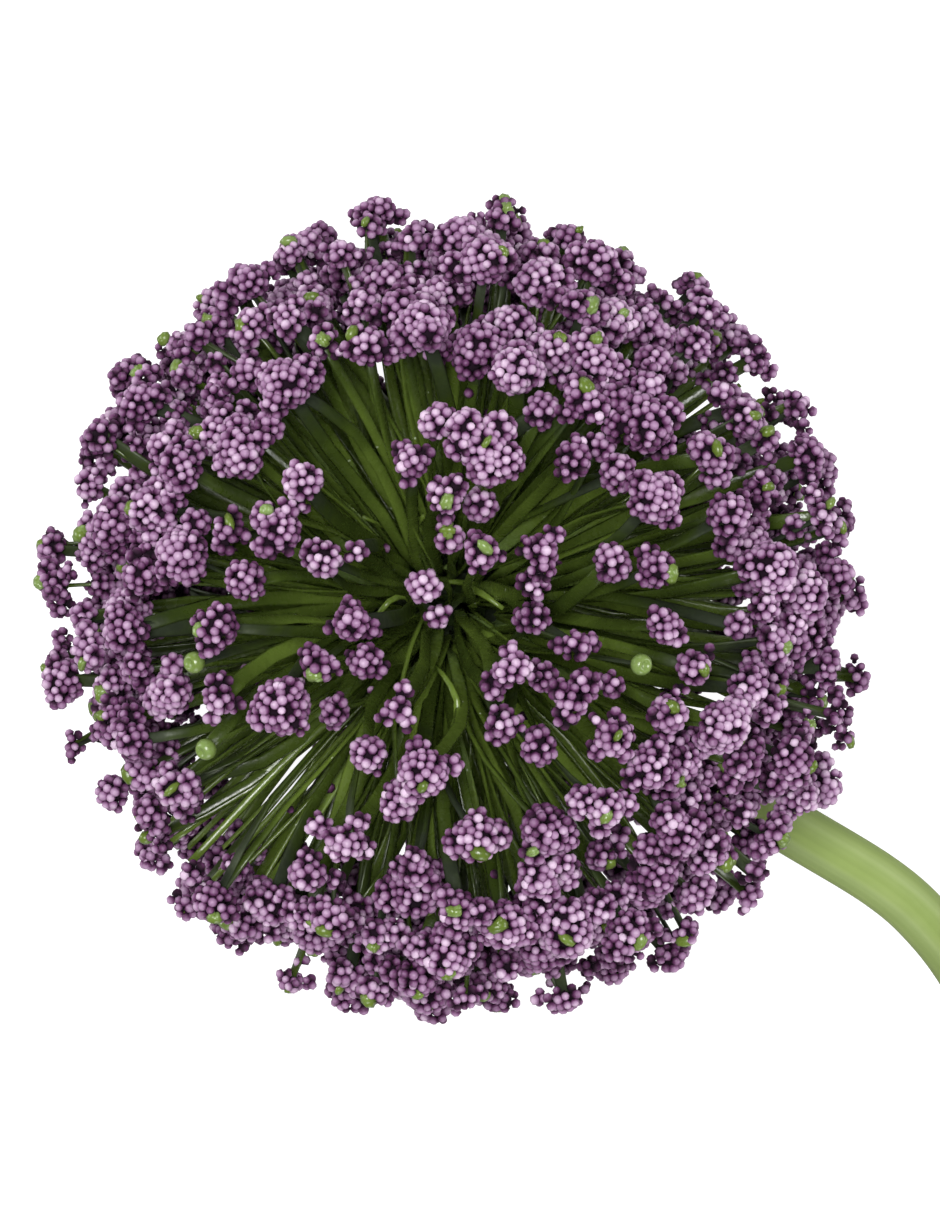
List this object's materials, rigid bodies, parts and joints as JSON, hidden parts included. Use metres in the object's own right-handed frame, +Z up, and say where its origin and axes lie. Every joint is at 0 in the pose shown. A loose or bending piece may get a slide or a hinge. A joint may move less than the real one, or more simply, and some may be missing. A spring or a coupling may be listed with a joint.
{
  "type": "allium flower head",
  "caption": "Ball-shaped allium flower head with bead-coated purple florets on green pedicels and a cut, curved stem, lying on a surface",
  "frame": {"origin": "middle of the footprint's box, on the surface that the head and the stem's cut end lie on", "axes": "+Z up from that surface, +X and +Y level; the stem leaves the head towards +X and -Y and its cut end points towards -Y"},
  "size_m": [0.1512, 0.1578, 0.116],
  "materials": {
    "stem": "light green moulded stem with soft lengthwise ribs and a slight sheen",
    "pedicel": "dark green glossy moulded pedicels, paler at the tips",
    "bead": "mauve foam beads, matt with a slight bloom, varying a little in tint"
  },
  "bodies": {
    "root": {"belt_spray_01": "bead", "belt_spray_02": "bead", "belt_spray_03": "bead", "belt_spray_04": "bead", "belt_spray_05": "bead", "belt_spray_06": "bead", "belt_spray_07": "bead", "belt_spray_08": "bead", "belt_spray_09": "bead", "belt_spray_10": "bead", "belt_spray_11": "bead", "belt_spray_12": "bead", "belt_spray_13": "bead", "belt_spray_14": "bead", "belt_spray_15": "bead", "collar_spray_01": "bead", "collar_spray_02": "bead", "collar_spray_03": "bead", "collar_spray_04": "bead", "collar_spray_05": "bead", "collar_spray_06": "bead", "crown_spray_01": "bead", "crown_spray_02": "bead", "crown_spray_03": "bead", "crown_spray_04": "bead", "crown_spray_05": "bead", "crown_spray_06": "bead", "crown_spray_07": "bead", "receptacle": "pedicel", "shoulder_spray_01": "bead", "shoulder_spray_02": "bead", "shoulder_spray_03": "bead", "shoulder_spray_04": "bead", "shoulder_spray_05": "bead", "shoulder_spray_06": "bead", "shoulder_spray_07": "bead", "shoulder_spray_08": "bead", "shoulder_spray_09": "bead", "shoulder_spray_10": "bead", "shoulder_spray_11": "bead", "shoulder_spray_12": "bead", "shoulder_spray_13": "bead", "shoulder_spray_14": "bead", "skirt_spray_01": "bead", "skirt_spray_02": "bead", "skirt_spray_03": "bead", "skirt_spray_04": "bead", "skirt_spray_05": "bead", "skirt_spray_06": "bead", "skirt_spray_07": "bead", "skirt_spray_08": "bead", "skirt_spray_09": "bead", "skirt_spray_10": "bead", "skirt_spray_11": "bead", "skirt_spray_12": "bead", "skirt_spray_13": "bead", "skirt_spray_14": "bead", "skirt_spray_15": "bead", "stem": "stem"}
  },
  "joints": []
}
